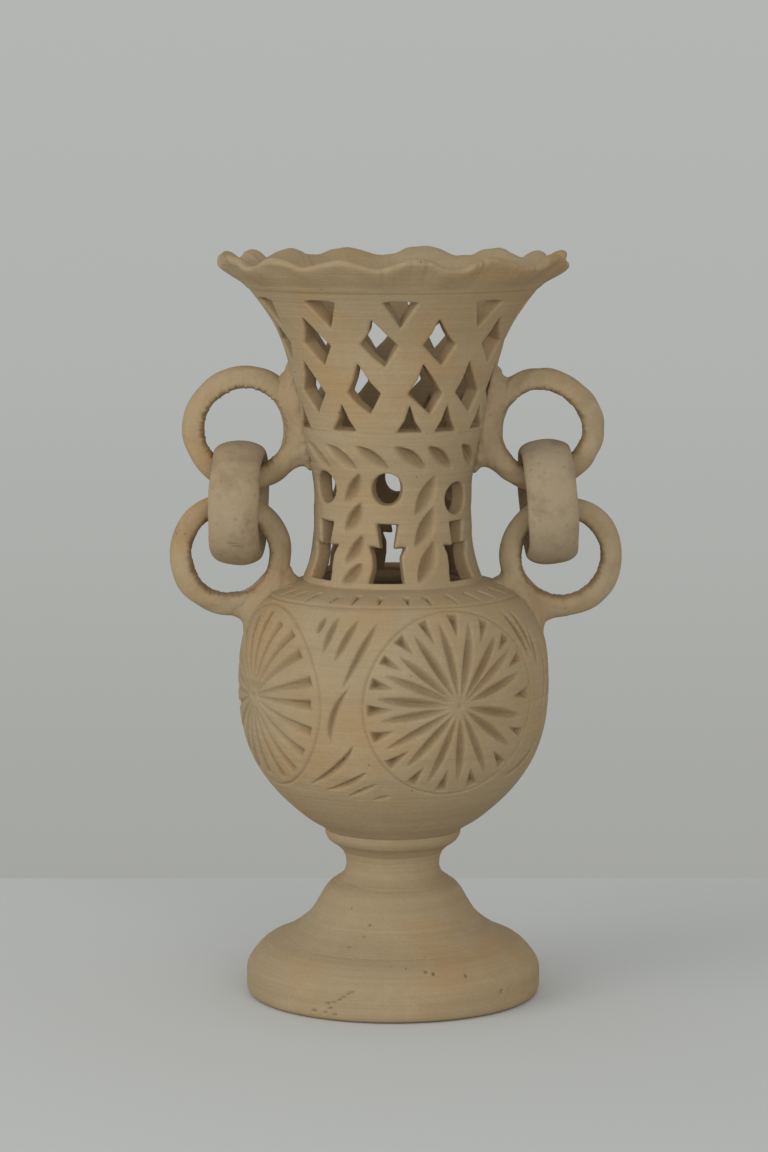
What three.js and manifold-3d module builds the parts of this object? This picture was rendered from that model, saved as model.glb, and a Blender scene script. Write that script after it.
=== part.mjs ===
// A hand-built clay vase: a bell foot, a turned stem, a carved globe, a pierced neck and a
// pierced flare with a crimped rim. A fixed ring is luted to the neck and another to the
// shoulder on each side, and a loose link hangs through both.
// Millimetres, +Z up, origin at the centre of the foot's underside. The vase's front is -Y.
import * as THREE from "three";
import { mergeVertices } from "three/addons/utils/BufferGeometryUtils.js";
import Module from "manifold-3d";

const wasm = await Module();
wasm.setup();

// Turned body: heights of the sections, and the radii where one section meets the next.
const FOOT_RADIUS = 59.2;
const FOOT_HEIGHT = 44;
const FOOT_BAND = 11.5;
const FOOT_TOP_RADIUS = 26;
const STEM_RADIUS = 18.8;
const STEM_HEIGHT = 23.2;
const COLLAR_RADIUS = 27.4;
const GLOBE_RADIUS = 62.5;
const GLOBE_HEIGHT = 101.3;
const SHOULDER_LINE_RADIUS = 49.5;
const NECK_BASE_RADIUS = 36;
const NECK_RADIUS = 31.7;
const NECK_HEIGHT = 60.7;
const FLARE_BASE_RADIUS = 36.6;
const FLARE_HEIGHT = 57.3;
const RIM_BASE_RADIUS = 58.6;
const RIM_RADIUS = 70;
const RIM_HEIGHT = 11.5;

// Clay.
const WALL = 6;
const GLOBE_FLOOR = 9;
const FOOT_CROWN = 9;
const SEAM = 0.3;

// Crimped rim: how far the lip rises and falls, and where a finger pressed it down.
const SCALLOP_RISE = 1.9;
const LIP_THICKNESS = 5.6;
const SCALLOP_VALLEYS = [
  -129.8, -112, -83, -54.2, -30, -5.4, 20.2, 49.5, 86, 110.5, 129.4, 155.5, 184.1, 209.2,
];

// Piercing of the flare, by eye, in degrees from the front.
const FLARE_BAND = 5.6;
const FLARE_FOOT = 0.9;
const TOP_TRIANGLES = [-69, -31.8, 2.3, 43, 79, 108, 138, 170, 204, 236, 264];
const UPPER_DIAMONDS = [-74, -43, -8, 24.5, 60, 91, 121, 152, 188, 222, 254];
const LOWER_DIAMONDS = [-88, -54, -16.6, 18.6, 49, 78, 107, 137, 170, 205, 239];
const FOOT_TRIANGLES = [-102, -70, -31, 10, 34, 64, 93, 122, 154, 188, 222];
const DIAMOND_WIDTH = 14.6;
const TRIANGLE_WIDTH = 13;

// Piercing of the neck.
const NECK_COLUMNS = [-120.5, -56.4, -2.5, 54.5, 116, 177.5];
const ROUND_HOLE_RADIUS = 5.5;
const ROUND_HOLE_DROP = 22.5;
const KEYHOLE_HEIGHT = 23.4;
const KEYHOLE_SILL = 2.6;
const KEYHOLE_TOP_WIDTH = 8;
const KEYHOLE_STEP_WIDTH = 4.4;
const KEYHOLE_BASE_WIDTH = 14.6;
const KEYHOLE_WAIST_WIDTH = 11;

// Rings and links.
const UPPER_RING_TUBE = 4.5;
const LOWER_RING_TUBE = 4.5;
const RING_BITE = 2.2;
const SHOULDER_CONTACT = 234;
const LINK_WALL = 8.4;
const LINK_WIDTH = 20;
const LINK_REST_GAP = 0.1;
const RING_ROOM = 10.2;
const LOWER_RING_RADIUS = LINK_WIDTH / 2 + RING_ROOM;
const WAD_REACH = 7.4;
const UPPER_CONTACT = 172;
const UPPER_WAD_LENGTH = 42;
const LOWER_WAD_LENGTH = 34;
const SIDES = [
  { name: "left", sign: -1, rise: 10, bite: 2.8, barGap: 0.8, barStep: 6, linkStep: 3.5, slack: 7.7, yaw: 4, lean: 1.5 },
  { name: "right", sign: 1, rise: 9.1, bite: 2, barGap: 1.6, barStep: 8.2, linkStep: 5.2, slack: 2.8, yaw: 3, lean: 4 },
];

// Facets.
const AROUND = 40;
const RING_STEPS = 28;
const LINK_STEPS = 30;

const STEM_Z = FOOT_HEIGHT;
const GLOBE_Z = STEM_Z + STEM_HEIGHT;
const NECK_Z = GLOBE_Z + GLOBE_HEIGHT;
const FLARE_Z = NECK_Z + NECK_HEIGHT;
const RIM_Z = FLARE_Z + FLARE_HEIGHT;

const CLAY = { color: 0x94826a, roughness: 0.92, metalness: 0 };
const LINK_CLAY = { color: 0x978872, roughness: 0.92, metalness: 0 };

// A radius part of the way from one radius to another.
const mix = (from, to, share) => from + (to - from) * share;

// Outer profiles, each a list of [height, radius] from the bottom of its section to the top.
const footOutline = [
  [0, FOOT_RADIUS - 0.5],
  [1.2, FOOT_RADIUS],
  [FOOT_BAND, FOOT_RADIUS],
  [mix(FOOT_BAND, FOOT_HEIGHT, 0.14), mix(FOOT_RADIUS, FOOT_TOP_RADIUS, 0.08)],
  [mix(FOOT_BAND, FOOT_HEIGHT, 0.26), mix(FOOT_RADIUS, FOOT_TOP_RADIUS, 0.2)],
  [mix(FOOT_BAND, FOOT_HEIGHT, 0.37), mix(FOOT_RADIUS, FOOT_TOP_RADIUS, 0.42)],
  [mix(FOOT_BAND, FOOT_HEIGHT, 0.5), mix(FOOT_RADIUS, FOOT_TOP_RADIUS, 0.62)],
  [mix(FOOT_BAND, FOOT_HEIGHT, 0.64), mix(FOOT_RADIUS, FOOT_TOP_RADIUS, 0.77)],
  [mix(FOOT_BAND, FOOT_HEIGHT, 0.8), mix(FOOT_RADIUS, FOOT_TOP_RADIUS, 0.87)],
  [FOOT_HEIGHT, FOOT_TOP_RADIUS],
];
const stemOutline = [
  [STEM_Z, FOOT_TOP_RADIUS],
  [STEM_Z + STEM_HEIGHT * 0.12, mix(FOOT_TOP_RADIUS, STEM_RADIUS, 0.62)],
  [STEM_Z + STEM_HEIGHT * 0.25, mix(FOOT_TOP_RADIUS, STEM_RADIUS, 0.94)],
  [STEM_Z + STEM_HEIGHT * 0.4, STEM_RADIUS],
  [STEM_Z + STEM_HEIGHT * 0.58, mix(STEM_RADIUS, COLLAR_RADIUS, 0.14)],
  [STEM_Z + STEM_HEIGHT * 0.7, mix(STEM_RADIUS, COLLAR_RADIUS, 0.42)],
  [STEM_Z + STEM_HEIGHT * 0.82, mix(STEM_RADIUS, COLLAR_RADIUS, 0.86)],
  [STEM_Z + STEM_HEIGHT * 0.94, COLLAR_RADIUS],
  [GLOBE_Z, COLLAR_RADIUS],
];
const globeOutline = [
  [GLOBE_Z, COLLAR_RADIUS],
  [GLOBE_Z + GLOBE_HEIGHT * 0.045, mix(COLLAR_RADIUS, GLOBE_RADIUS, 0.2)],
  [GLOBE_Z + GLOBE_HEIGHT * 0.09, mix(COLLAR_RADIUS, GLOBE_RADIUS, 0.36)],
  [GLOBE_Z + GLOBE_HEIGHT * 0.185, mix(COLLAR_RADIUS, GLOBE_RADIUS, 0.63)],
  [GLOBE_Z + GLOBE_HEIGHT * 0.29, mix(COLLAR_RADIUS, GLOBE_RADIUS, 0.83)],
  [GLOBE_Z + GLOBE_HEIGHT * 0.41, mix(COLLAR_RADIUS, GLOBE_RADIUS, 0.95)],
  [GLOBE_Z + GLOBE_HEIGHT * 0.58, GLOBE_RADIUS],
  [GLOBE_Z + GLOBE_HEIGHT * 0.72, mix(SHOULDER_LINE_RADIUS, GLOBE_RADIUS, 0.94)],
  [GLOBE_Z + GLOBE_HEIGHT * 0.82, mix(SHOULDER_LINE_RADIUS, GLOBE_RADIUS, 0.74)],
  [GLOBE_Z + GLOBE_HEIGHT * 0.9, mix(SHOULDER_LINE_RADIUS, GLOBE_RADIUS, 0.4)],
  [GLOBE_Z + GLOBE_HEIGHT * 0.955, SHOULDER_LINE_RADIUS],
  [GLOBE_Z + GLOBE_HEIGHT * 0.985, mix(SHOULDER_LINE_RADIUS, NECK_BASE_RADIUS, 0.55)],
  [NECK_Z, NECK_BASE_RADIUS],
];
const neckOutline = [
  [NECK_Z, NECK_BASE_RADIUS],
  [NECK_Z + NECK_HEIGHT * 0.1, mix(NECK_BASE_RADIUS, NECK_RADIUS, 0.45)],
  [NECK_Z + NECK_HEIGHT * 0.22, mix(NECK_BASE_RADIUS, NECK_RADIUS, 0.84)],
  [NECK_Z + NECK_HEIGHT * 0.38, NECK_RADIUS],
  [NECK_Z + NECK_HEIGHT * 0.66, NECK_RADIUS],
  [NECK_Z + NECK_HEIGHT * 0.78, mix(NECK_RADIUS, FLARE_BASE_RADIUS, 0.33)],
  [NECK_Z + NECK_HEIGHT * 0.88, mix(NECK_RADIUS, FLARE_BASE_RADIUS, 0.68)],
  [FLARE_Z, FLARE_BASE_RADIUS],
];
const flareOutline = [
  [FLARE_Z, FLARE_BASE_RADIUS],
  [FLARE_Z + FLARE_HEIGHT * 0.2, mix(FLARE_BASE_RADIUS, RIM_BASE_RADIUS, 0.09)],
  [FLARE_Z + FLARE_HEIGHT * 0.4, mix(FLARE_BASE_RADIUS, RIM_BASE_RADIUS, 0.2)],
  [FLARE_Z + FLARE_HEIGHT * 0.58, mix(FLARE_BASE_RADIUS, RIM_BASE_RADIUS, 0.32)],
  [FLARE_Z + FLARE_HEIGHT * 0.72, mix(FLARE_BASE_RADIUS, RIM_BASE_RADIUS, 0.48)],
  [FLARE_Z + FLARE_HEIGHT * 0.85, mix(FLARE_BASE_RADIUS, RIM_BASE_RADIUS, 0.7)],
  [RIM_Z, RIM_BASE_RADIUS],
];
const turnedSections = [footOutline, stemOutline, globeOutline, neckOutline, flareOutline];

// The outer radius of the turned body at a height.
function radiusAt(z) {
  for (const outline of turnedSections)
    for (let i = 1; i < outline.length; i++) {
      const [lowZ, lowRadius] = outline[i - 1];
      const [highZ, highRadius] = outline[i];
      if (z <= highZ && z >= lowZ) return mix(lowRadius, highRadius, (z - lowZ) / (highZ - lowZ));
    }
  return RIM_BASE_RADIUS;
}

// A closed mesh's geometry as a manifold-3d solid.
function solid(geometry) {
  const bare = geometry.clone();
  bare.deleteAttribute("normal");
  bare.deleteAttribute("uv");
  const merged = mergeVertices(bare, 1e-4);
  return new wasm.Manifold(
    new wasm.Mesh({
      numProp: 3,
      vertProperties: new Float32Array(merged.attributes.position.array),
      triVerts: new Uint32Array(merged.index.array),
    }),
  );
}

// A manifold-3d solid as a geometry.
function shape(body) {
  const mesh = body.getMesh();
  const geometry = new THREE.BufferGeometry();
  geometry.setAttribute("position", new THREE.BufferAttribute(mesh.vertProperties, 3));
  geometry.setIndex(new THREE.BufferAttribute(mesh.triVerts, 1));
  geometry.computeVertexNormals();
  return geometry;
}

// The largest separate body of a cut solid.
function largest(body) {
  return body.decompose().reduce((best, one) => (one.volume() > best.volume() ? one : best));
}

// A closed outline of [height, radius] turned about the vase's axis, going up the outside first.
function turned(outline, around = AROUND) {
  const points = outline.map(([z, radius]) => new THREE.Vector2(radius, z));
  return solid(new THREE.LatheGeometry(points, around).rotateX(Math.PI / 2));
}

// A wall of one thickness behind an outer outline, closed on itself.
function shell(outline, thickness) {
  const first = outline[0];
  const last = outline[outline.length - 1];
  const middle = outline.slice(1, -1).map(([z, radius]) => [z, radius - thickness]);
  const inner = [[last[0], last[1] - thickness], ...middle.reverse(), [first[0], first[1] - thickness]];
  return turned([...outline, ...inner, first]);
}

// An outline with its ends drawn in by half a seam, so that neighbours don't touch.
function withSeams(outline, bottom, top) {
  const copy = outline.map(([z, radius]) => [z, radius]);
  copy[0][0] += bottom ? SEAM / 2 : 0;
  copy[copy.length - 1][0] -= top ? SEAM / 2 : 0;
  return copy;
}

// A flat outline of [across, up] pushed through the wall at an angle from the front.
function cutter(outline, angle, z, radius, depth) {
  const flat = new THREE.Shape(outline.map(([across, up]) => new THREE.Vector2(across, up)));
  const geometry = new THREE.ExtrudeGeometry(flat, { depth, bevelEnabled: false, curveSegments: 6 });
  geometry.translate(0, 0, -depth / 2);
  geometry.rotateX(Math.PI / 2);
  geometry.translate(0, -radius, z);
  geometry.rotateZ(THREE.MathUtils.degToRad(angle));
  return solid(geometry);
}

function pedestalFoot() {
  const crown = FOOT_HEIGHT - FOOT_CROWN;
  const inner = [
    [crown, 0],
    [crown, FOOT_TOP_RADIUS - WALL * 2],
    [mix(FOOT_BAND, FOOT_HEIGHT, 0.42), mix(FOOT_RADIUS, FOOT_TOP_RADIUS, 0.66) - WALL],
    [mix(FOOT_BAND, FOOT_HEIGHT, 0.14), mix(FOOT_RADIUS, FOOT_TOP_RADIUS, 0.3) - WALL],
    [FOOT_BAND * 0.6, FOOT_RADIUS - WALL - 1.4],
    [0, FOOT_RADIUS - WALL],
  ];
  const outer = withSeams(footOutline, false, true);
  return turned([...outer, [FOOT_HEIGHT - SEAM / 2, 0], ...inner, outer[0]]);
}

function stemSpool() {
  const outer = withSeams(stemOutline, true, true);
  const bottom = outer[0][0];
  const top = outer[outer.length - 1][0];
  return turned([[bottom, 0], ...outer, [top, 0]]);
}

function globeBody() {
  const outer = withSeams(globeOutline, true, true);
  const floor = GLOBE_Z + GLOBE_FLOOR;
  const inside = globeOutline
    .filter(([z]) => z > floor + WALL && z < NECK_Z)
    .map(([z, radius]) => [Math.min(z, NECK_Z - WALL), radius - WALL])
    .filter(([z, radius], i, all) => i === 0 || z > all[i - 1][0] || radius < all[i - 1][1])
    .reverse();
  const bore = NECK_BASE_RADIUS - WALL;
  const top = outer[outer.length - 1][0];
  const ceiling = inside.filter(([, radius]) => radius > bore);
  const well = radiusAt(floor) - WALL * 1.4;
  return turned([[outer[0][0], 0], ...outer, [top, bore], ...ceiling, [floor, well], [floor, 0]]);
}

// The keyhole's outline: a plain slot above, a waisted arch below, stepped where they meet.
function keyholeOutline() {
  const top = KEYHOLE_HEIGHT;
  const step = KEYHOLE_HEIGHT * 0.62;
  const waist = KEYHOLE_HEIGHT * 0.3;
  const right = [
    [KEYHOLE_BASE_WIDTH / 2, 0],
    [KEYHOLE_WAIST_WIDTH / 2, waist],
    [KEYHOLE_BASE_WIDTH / 2, step],
    [KEYHOLE_STEP_WIDTH / 2, step],
    [KEYHOLE_TOP_WIDTH / 2, top],
  ];
  return [...right, ...right.map(([across, up]) => [-across, up]).reverse()];
}

function neckTube() {
  const circle = new THREE.Shape().absarc(0, 0, ROUND_HOLE_RADIUS, 0, Math.PI * 2).getPoints(6);
  const round = circle.slice(0, -1).map(({ x, y }) => [x, y]);
  let wall = shell(withSeams(neckOutline, true, true), WALL);
  for (const angle of NECK_COLUMNS) {
    wall = wall.subtract(cutter(round, angle, FLARE_Z - ROUND_HOLE_DROP, NECK_RADIUS, WALL * 4));
    wall = wall.subtract(cutter(keyholeOutline(), angle, NECK_Z + KEYHOLE_SILL, NECK_RADIUS, WALL * 4));
  }
  return wall;
}

// The flare's piercing fills the height between its foot and the plain band under the rim.
function latticeFlare() {
  const base = FLARE_Z + FLARE_FOOT;
  const height = FLARE_HEIGHT - FLARE_BAND - FLARE_FOOT;
  const up = (share) => base + height * share;
  const half = DIAMOND_WIDTH / 2;
  const diamond = (low, middle, high) => [
    [1.6, height * (low - middle)],
    [half, 0],
    [-1.8, height * (high - middle)],
    [-half, 0],
  ];
  const spread = TRIANGLE_WIDTH / 2;
  const rows = [
    { angles: TOP_TRIANGLES, at: up(1), outline: [[0, -height * 0.21], [spread, 0], [-spread, 0]] },
    { angles: UPPER_DIAMONDS, at: up(0.68), outline: diamond(0.525, 0.68, 0.87) },
    { angles: LOWER_DIAMONDS, at: up(0.31), outline: diamond(0.145, 0.31, 0.535) },
    { angles: FOOT_TRIANGLES, at: up(0), outline: [[-spread * 0.8, 0], [spread * 0.8, 0], [0, height * 0.205]] },
  ];
  let wall = shell(withSeams(flareOutline, true, true), WALL);
  for (const { angles, at, outline } of rows)
    for (const angle of angles) wall = wall.subtract(cutter(outline, angle, at, radiusAt(at), WALL * 4));
  return wall;
}

// How high the lip stands at an angle: 1 on a crest, -1 where a finger pressed a valley.
function scallop(angle) {
  const turns = SCALLOP_VALLEYS.length;
  for (let i = 0; i < turns; i++) {
    const from = SCALLOP_VALLEYS[i];
    const to = i + 1 < turns ? SCALLOP_VALLEYS[i + 1] : SCALLOP_VALLEYS[0] + 360;
    if (angle >= from && angle < to) return -Math.cos((2 * Math.PI * (angle - from)) / (to - from));
  }
  return -1;
}

// The rim is a closed section carried round the mouth, lifted and dropped along its lip.
function ruffledRim() {
  const bottom = RIM_Z + SEAM / 2;
  const lip = RIM_Z + RIM_HEIGHT;
  const section = [
    [RIM_BASE_RADIUS, bottom, 0],
    [mix(RIM_BASE_RADIUS, RIM_RADIUS, 0.45), mix(bottom, lip, 0.24), 0.5],
    [RIM_RADIUS - 0.9, lip - LIP_THICKNESS, 1],
    [RIM_RADIUS, lip - LIP_THICKNESS * 0.5, 1],
    [RIM_RADIUS - 1.2, lip, 1],
    [RIM_RADIUS - LIP_THICKNESS, lip - 0.4, 1],
    [mix(RIM_BASE_RADIUS - WALL, RIM_RADIUS, 0.4), mix(bottom, lip, 0.55), 0.5],
    [RIM_BASE_RADIUS - WALL, bottom, 0],
  ];
  const perScallop = 5;
  const positions = [];
  SCALLOP_VALLEYS.forEach((from, i) => {
    const to = SCALLOP_VALLEYS[i + 1] ?? SCALLOP_VALLEYS[0] + 360;
    for (let step = 0; step < perScallop; step++) {
      const angle = mix(from, to, step / perScallop);
      const turn = THREE.MathUtils.degToRad(angle);
      for (const [radius, z, share] of section)
        positions.push(radius * Math.sin(turn), -radius * Math.cos(turn), z + share * SCALLOP_RISE * scallop(angle));
    }
  });
  return solid(gridSurface(positions, SCALLOP_VALLEYS.length * perScallop, section.length));
}

// A closed surface from rows of points that join round both ways.
function gridSurface(positions, rows, columns) {
  const indices = [];
  for (let row = 0; row < rows; row++)
    for (let column = 0; column < columns; column++) {
      const nextRow = (row + 1) % rows;
      const nextColumn = (column + 1) % columns;
      const a = row * columns + column;
      const b = nextRow * columns + column;
      const c = nextRow * columns + nextColumn;
      const d = row * columns + nextColumn;
      indices.push(a, b, c, a, c, d);
    }
  const geometry = new THREE.BufferGeometry();
  geometry.setAttribute("position", new THREE.Float32BufferAttribute(positions, 3));
  geometry.setIndex(indices);
  return geometry;
}

// A ring coil in the plane that faces the front, with its centre at x and z.
function ringCoil(x, z, radius, tube) {
  return solid(new THREE.TorusGeometry(radius, tube, 8, RING_STEPS).rotateX(Math.PI / 2).translate(x, 0, z));
}

// The whole body's outside as one solid, grown by the seam, for cutting what sits on it.
function bodyEnvelope(extra) {
  const outline = turnedSections.flatMap((section, i) => section.slice(i ? 1 : 0));
  const grown = outline.map(([z, radius], i) => {
    const [lowZ, lowRadius] = outline[Math.max(i - 1, 0)];
    const [highZ, highRadius] = outline[Math.min(i + 1, outline.length - 1)];
    const length = Math.hypot(highZ - lowZ, highRadius - lowRadius);
    return [z - (extra * (highRadius - lowRadius)) / length, radius + (extra * (highZ - lowZ)) / length];
  });
  return turned([[0, 0], ...grown, [RIM_Z, 0]]);
}

// Where one side's rings and link stand. The lower ring bites into the shoulder, and the upper
// ring reaches from the wall to the link and ends just above the lower ring.
function sidePlan({ sign, rise, bite, barGap, barStep, linkStep }) {
  const reach = LOWER_RING_RADIUS + LOWER_RING_TUBE - bite;
  const contact = THREE.MathUtils.degToRad(SHOULDER_CONTACT);
  const lowerZ = NECK_Z + rise;
  const lowerX = radiusAt(lowerZ + reach * Math.sin(contact)) - reach * Math.cos(contact);
  const upperX = lowerX - barStep;
  const barZ = lowerZ + LOWER_RING_RADIUS + LOWER_RING_TUBE + barGap + UPPER_RING_TUBE;
  let upperRadius = LOWER_RING_RADIUS;
  for (let pass = 0; pass < 8; pass++)
    upperRadius = upperX - radiusAt(barZ + upperRadius) - UPPER_RING_TUBE + RING_BITE;
  return {
    lower: { x: sign * lowerX, z: lowerZ, radius: LOWER_RING_RADIUS, tube: LOWER_RING_TUBE },
    upper: { x: sign * upperX, z: barZ + upperRadius, radius: upperRadius, tube: UPPER_RING_TUBE },
    linkX: sign * (lowerX - linkStep),
  };
}

// A wad of luting clay round the place where a ring meets the wall: a rounded lump, cut to fit
// against the wall and round the ring.
function lutingWad(ring, sign, contactDegrees, length, envelope) {
  const contact = THREE.MathUtils.degToRad(contactDegrees);
  const reach = ring.radius + ring.tube * 0.5;
  const lump = new THREE.SphereGeometry(1, 12, 8);
  lump.scale(WAD_REACH, WAD_REACH, length / 2);
  lump.rotateY(Math.PI - contact);
  const x = Math.abs(ring.x) + reach * Math.cos(contact);
  lump.translate(x, 0, ring.z + reach * Math.sin(contact));
  const right = solid(lump).subtract(envelope);
  const placed = sign > 0 ? right : right.mirror([1, 0, 0]);
  return largest(placed.subtract(ringCoil(ring.x, ring.z, ring.radius, ring.tube + SEAM)));
}

// How far a ring's inside climbs past the link's rounded edges, from its lowest or highest point.
function climbAtEdge(ring, linkX) {
  const inside = ring.radius - ring.tube;
  const offset = Math.abs(Math.abs(linkX) - Math.abs(ring.x));
  const climbs = [0.8, 0.9, 1].map((share) => {
    const edge = offset + (share * LINK_WIDTH) / 2;
    const rounding = (LINK_WALL / 2) * (1 - Math.sqrt(1 - share ** 2));
    return inside - Math.sqrt(inside ** 2 - edge ** 2) - rounding;
  });
  return Math.max(...climbs);
}

// The link's bore hangs on the upper ring's bar, and ends below the lower ring's bar by the slack.
function linkBore({ upper, lower, linkX }, slack) {
  const top = upper.z - upper.radius + upper.tube + climbAtEdge(upper, linkX) + LINK_REST_GAP;
  const bottom = lower.z + lower.radius - lower.tube - climbAtEdge(lower, linkX) - slack;
  return { radius: (top - bottom) / 2, z: (top + bottom) / 2 };
}

// A loose link: an oval section turned about the link's own axis, which lies across the vase.
function looseLink(plan, { sign, yaw, lean, slack }) {
  const bore = linkBore(plan, slack);
  const section = new THREE.EllipseCurve(0, 0, LINK_WALL / 2, LINK_WIDTH / 2).getPoints(10);
  const points = section.map(({ x, y }) => new THREE.Vector2(bore.radius + LINK_WALL / 2 + x, y));
  const geometry = new THREE.LatheGeometry(points, LINK_STEPS).rotateZ(-Math.PI / 2);
  geometry.rotateY(THREE.MathUtils.degToRad(-sign * lean));
  geometry.rotateZ(THREE.MathUtils.degToRad(sign * yaw));
  geometry.translate(plan.linkX, 0, bore.z);
  return solid(geometry);
}

const vase = new THREE.Group();

// Adds one solid to the vase as a named mesh.
function piece(name, body, clay = CLAY) {
  const mesh = new THREE.Mesh(shape(body), new THREE.MeshStandardMaterial(clay));
  mesh.name = name;
  vase.add(mesh);
}

piece("pedestal_foot", pedestalFoot());
piece("stem_spool", stemSpool());
piece("globe_body", globeBody());
piece("neck_tube", neckTube());
piece("lattice_flare", latticeFlare());
piece("ruffled_rim", ruffledRim());

const envelope = bodyEnvelope(SEAM);
for (const side of SIDES) {
  const plan = sidePlan(side);
  for (const level of ["upper", "lower"]) {
    const { x, z, radius, tube } = plan[level];
    piece(`${level}_ring_${side.name}`, largest(ringCoil(x, z, radius, tube).subtract(envelope)));
  }
  piece(`upper_wad_${side.name}`, lutingWad(plan.upper, side.sign, UPPER_CONTACT, UPPER_WAD_LENGTH, envelope));
  piece(`lower_wad_${side.name}`, lutingWad(plan.lower, side.sign, SHOULDER_CONTACT, LOWER_WAD_LENGTH, envelope));
  piece(`link_${side.name}`, looseLink(plan, side), LINK_CLAY);
}

export default vase;
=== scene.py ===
"""An unglazed pedestal vase: turned and chip-carved clay, pierced neck and flare, crimped rim,
two luted rings on each side and a loose link hung through each pair.

Lengths are in millimetres and angles in degrees from the front, positive towards +X, until a
mesh is made. A carved surface is a grid of angle by distance up the outline, and knife cuts are
depths on that grid.
"""
import math

import bpy
import numpy as np
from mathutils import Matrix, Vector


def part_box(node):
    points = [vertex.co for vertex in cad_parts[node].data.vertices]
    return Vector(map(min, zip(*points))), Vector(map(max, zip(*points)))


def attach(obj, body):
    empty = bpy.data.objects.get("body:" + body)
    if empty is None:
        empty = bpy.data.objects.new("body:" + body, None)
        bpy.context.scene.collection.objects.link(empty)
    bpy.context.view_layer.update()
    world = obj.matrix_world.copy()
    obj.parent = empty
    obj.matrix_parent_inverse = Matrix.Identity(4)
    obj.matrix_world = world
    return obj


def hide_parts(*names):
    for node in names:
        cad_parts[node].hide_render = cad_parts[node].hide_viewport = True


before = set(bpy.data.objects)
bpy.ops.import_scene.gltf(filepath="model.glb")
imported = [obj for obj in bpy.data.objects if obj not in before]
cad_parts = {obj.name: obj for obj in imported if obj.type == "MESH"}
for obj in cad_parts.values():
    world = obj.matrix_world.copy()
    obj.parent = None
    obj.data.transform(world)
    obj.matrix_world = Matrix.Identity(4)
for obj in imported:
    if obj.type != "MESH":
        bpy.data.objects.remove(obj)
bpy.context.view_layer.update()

MM = 0.001
WALL = 6.0
ABOUT_A_TURN = 6.28  # radians, the range of a random phase
AXIS_R = 0.02  # how near the turning axis a closed end comes
NO_HOLE = 9.0  # distance to the nearest hole before any is made
FULL_DARK = 1.2  # depth at which the painted shade in a cut is as dark as it gets
INSIDE_SHADE = 0.25  # how dark the unseen inside of a turned piece is
CARVED_TRIANGLES = 190000  # about how many a carved or pierced piece keeps
LUTING_TRIANGLES = 60000
random = np.random.default_rng(7)


# ---------------------------------------------------------------- curves and small helpers

def smooth(points, step, closed=False):
    """A smooth curve through the points, resampled at about step along the first two columns. Any
    other columns are carried along."""
    points = np.asarray(points, float)
    if closed:
        points = np.vstack([points[-1:], points, points[:2]])
    chord = np.maximum(np.hypot(*np.diff(points[:, :2], axis=0).T), 1e-6)
    slope = np.diff(points, axis=0) / chord[:, None]
    before, after = chord[:-1, None], chord[1:, None]
    inner = (before * slope[1:] + after * slope[:-1]) / (before + after)
    tangent = np.vstack([slope[:1], inner, slope[-1:]])
    first, last = (1, len(points) - 2) if closed else (0, len(points) - 1)
    pieces = []
    t = np.linspace(0, 1, 40, endpoint=False)[:, None]
    for i in range(first, last):
        h = chord[i]
        pieces.append(
            (2 * t**3 - 3 * t**2 + 1) * points[i] + (t**3 - 2 * t**2 + t) * h * tangent[i]
            + (3 * t**2 - 2 * t**3) * points[i + 1] + (t**3 - t**2) * h * tangent[i + 1])
    dense = np.vstack(pieces + [points[last:last + 1]])
    length = np.r_[0, np.cumsum(np.hypot(*np.diff(dense[:, :2], axis=0).T))]
    count = max(int(round(length[-1] / step)), 2)
    at = np.linspace(0, length[-1], count + 1)[:count if closed else None]
    return np.column_stack([np.interp(at, length, column) for column in dense.T])


def wrap(angle):
    """An angle in radians brought between -pi and pi."""
    return (angle + math.pi) % (2 * math.pi) - math.pi


def circle(count):
    """Angles spaced evenly round a circle, in radians."""
    return np.arange(count) * 2 * math.pi / count


def ripple(angle, seed, terms=5, first=2):
    """A smooth periodic wobble of about unit size."""
    waves = np.random.default_rng(seed)
    total = np.zeros_like(angle)
    for k in range(first, first + terms):
        total += waves.normal() * np.cos(k * angle + waves.uniform(0, ABOUT_A_TURN)) / math.sqrt(terms)
    return total


def smooth_max(a, b, size):
    """The larger of two fields, with the crease between them rounded over size."""
    h = np.clip(size - np.abs(a - b), 0, None) / size
    return np.maximum(a, b) + h * h * size / 4


def smooth_min(a, b, size):
    """The smaller of two fields, with the crease between them rounded over size."""
    return -smooth_max(-a, -b, size)


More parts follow.
